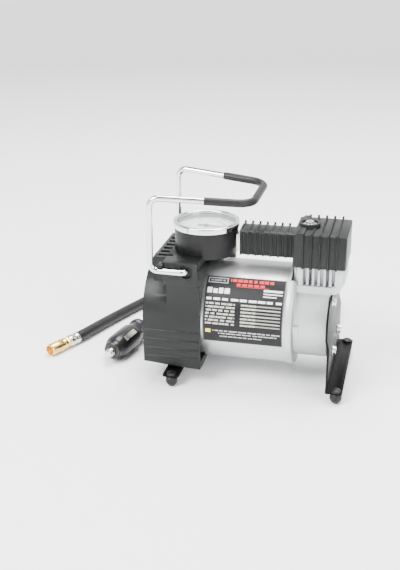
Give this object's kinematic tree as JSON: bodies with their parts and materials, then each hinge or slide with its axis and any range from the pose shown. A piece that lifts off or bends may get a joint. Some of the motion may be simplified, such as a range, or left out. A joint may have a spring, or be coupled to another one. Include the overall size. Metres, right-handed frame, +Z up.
{
  "type": "portable tire inflator",
  "caption": "Portable 12 V tire inflator: silver motor, finned piston cylinder under a ribbed black cover, top gauge, folding wire handle, brackets on rubber feet, hose and plug.",
  "frame": {"origin": "middle of the footprint on the surface that the rubber feet stand on, leaving out the hose and the lead with what is on them", "axes": "+X along the motor from the switch towards the cylinder, +Y away from the name label, +Z up"},
  "size_m": [0.2504, 0.199, 0.1537],
  "materials": {
    "can_silver": "satin silver paint",
    "label_black": "printed film, slightly glossy",
    "cast_alloy": "as-cast, fine grain",
    "zinc_steel": "bright zinc plate",
    "ground_steel": "ground",
    "magnet_grey": "sintered ferrite",
    "bronze": "plain",
    "carbon": "dull",
    "copper": "enamelled wire and bars",
    "rod_alloy": "die cast",
    "seal_white": "smooth",
    "cover_black": "fine moulded texture",
    "nickel": "nickel plate",
    "gauge_black": "satin",
    "chrome": "polished",
    "lens_clear": "clear",
    "dial_white": "printed",
    "needle_orange": "satin",
    "switch_black": "moulded",
    "rubber_black": "satin",
    "bracket_black": "gloss black stove enamel",
    "chuck_brass": "turned"
  },
  "bodies": {
    "base": {"motor_can": "can_silver", "name_label": "label_black", "rear_plate": "zinc_steel", "field_magnets": "magnet_grey", "through_bolts": "zinc_steel", "shaft_bushes": "bronze", "brush_holders": "bronze", "carbon_brushes": "carbon", "crankcase": "cast_alloy", "crankcase_cover": "cast_alloy", "crank_axle": "zinc_steel", "finned_cylinder": "cast_alloy", "valve_plate": "cast_alloy", "reed_valves": "zinc_steel", "head_gasket": "carbon", "cylinder_head": "cast_alloy", "head_screws": "zinc_steel", "shroud": "cover_black", "shroud_screw": "zinc_steel", "shroud_washer": "zinc_steel", "air_pipe": "nickel", "gauge_fitting": "nickel", "gauge_case": "gauge_black", "gauge_bezel": "chrome", "gauge_lens": "lens_clear", "gauge_dial": "dial_white", "gauge_movement": "bronze", "bourdon_tube": "bronze", "rear_cap": "cover_black", "cap_screws": "zinc_steel", "switch_body": "switch_black", "right_bracket": "bracket_black", "left_bracket": "bracket_black", "bracket_screws": "zinc_steel", "rubber_feet": "rubber_black", "hose_outlet": "nickel", "air_hose": "rubber_black", "hose_ferrule": "nickel", "chuck_barb": "chuck_brass", "cord_grommet": "rubber_black", "supply_lead": "rubber_black", "lead_coil": "rubber_black", "plug_body": "switch_black"},
    "armature": {"motor_shaft": "ground_steel", "armature_core": "ground_steel", "armature_windings": "copper", "commutator": "copper", "drive_pinion": "ground_steel"},
    "crank": {"crank_gear": "ground_steel", "crank_pin": "zinc_steel"},
    "piston": {"connecting_rod": "rod_alloy", "big_end_bearing": "ground_steel", "cup_seal": "seal_white", "piston_screw": "zinc_steel"},
    "needle": {"gauge_needle": "needle_orange"},
    "handle": {"handle_wire": "chrome", "handle_grip": "rubber_black"},
    "rocker": {"switch_rocker": "switch_black"},
    "chuck_nut": {"chuck_sleeve": "chuck_brass"},
    "centre_pin": {"plug_tip": "nickel"}
  },
  "joints": [
    {"name": "armature_spin", "type": "hinge", "parent": "base", "child": "armature", "pos_m": [-0.01103, 0, 0.0516], "axis": [1, 0, 0], "continuous": true},
    {"name": "crank_spin", "type": "hinge", "parent": "base", "child": "crank", "pos_m": [0.04547, 0, 0.0356], "axis": [1, 0, 0], "continuous": true},
    {"name": "piston_stroke", "type": "slide", "parent": "base", "child": "piston", "axis": [0, 0, 1], "range_m": [-0.01, 0]},
    {"name": "needle_sweep", "type": "hinge", "parent": "base", "child": "needle", "pos_m": [-0.03178, 0, 0.1176], "axis": [0, 0, 1], "range_deg": [-270, 0], "stiffness_Nm_per_rad": 0.00001},
    {"name": "handle_fold", "type": "hinge", "parent": "base", "child": "handle", "pos_m": [-0.03849, 0, 0.09437], "axis": [0, 1, 0], "range_deg": [-110, 0]},
    {"name": "switch_tilt", "type": "hinge", "parent": "base", "child": "rocker", "pos_m": [-0.07373, -0.012, 0.0368], "axis": [0, 1, 0], "range_deg": [-20, 0]},
    {"name": "chuck_turn", "type": "hinge", "parent": "base", "child": "chuck_nut", "pos_m": [-0.15799, -0.00767, 0.00515], "axis": [-0.4179, -0.9085, 0], "continuous": true},
    {"name": "centre_pin_press", "type": "slide", "parent": "base", "child": "centre_pin", "axis": [-0.1857, -0.9826, 0], "range_m": [-0.0025, 0], "stiffness_N_per_m": 400}
  ],
  "couplings": [
    {"joint": "crank_spin", "follows": "armature_spin", "ratio": -0.42857}
  ]
}
